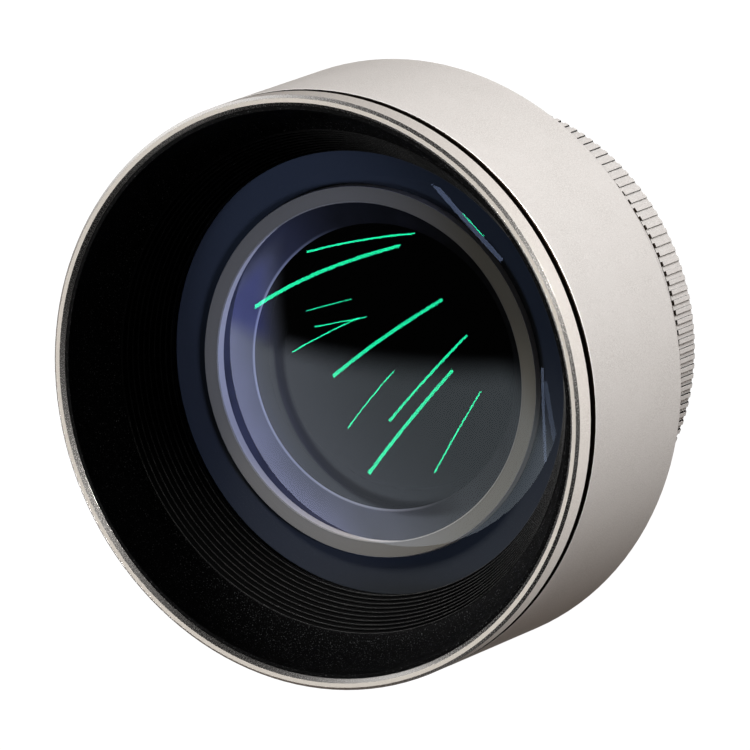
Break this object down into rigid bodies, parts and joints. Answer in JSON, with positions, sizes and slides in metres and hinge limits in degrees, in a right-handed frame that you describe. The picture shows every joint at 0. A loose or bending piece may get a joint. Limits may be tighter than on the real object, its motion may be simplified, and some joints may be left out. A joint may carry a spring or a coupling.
{
  "type": "phone telephoto lens",
  "caption": "Round telephoto converter for a phone: a wide metal barrel with a deep mouth over a large coated glass, a toothed grip and a bayonet at the rear.",
  "frame": {"origin": "middle of the rear face of the nose, where the lens stands", "axes": "+Z along the optical axis, from the rear face to the front glass"},
  "size_m": [0.066, 0.066, 0.055],
  "materials": {
    "titanium_anodised": "bead blasted and anodised in a pale warm grey",
    "black_anodised": "black anodised, matt",
    "trap_black": "fine black ridges, matt",
    "front_glass": "polished, with a green and blue anti-reflection coating",
    "pair_glass": "polished, with a violet coating",
    "rear_glass": "polished, with a green coating",
    "ring_beige": "turned, clear anodised",
    "mount_steel": "turned and brushed",
    "screw_steel": "blackened in the sockets",
    "seal_rubber": "matt",
    "dot_enamel": "glossy enamel"
  },
  "bodies": {
    "root": {"front_ring": "titanium_anodised", "front_cell": "black_anodised", "ribbed_baffle": "trap_black", "front_seal": "seal_rubber", "front_element": "front_glass", "main_barrel": "titanium_anodised", "barrel_seal": "seal_rubber", "rear_barrel": "titanium_anodised", "grip_ring": "titanium_anodised", "set_screws": "screw_steel", "mount_flange": "titanium_anodised", "bayonet_ring": "mount_steel", "mount_screws": "screw_steel", "mount_gasket": "seal_rubber", "index_dot": "dot_enamel", "pair_cell": "black_anodised", "pair_retainer": "ring_beige", "pair_front": "pair_glass", "pair_rear": "pair_glass", "inner_tube": "black_anodised", "front_stop": "black_anodised", "rear_stop": "black_anodised", "rear_cell": "black_anodised", "rear_group_front": "rear_glass", "rear_spacer": "black_anodised", "rear_group_back": "rear_glass", "rear_retainer": "black_anodised"}
  },
  "joints": []
}
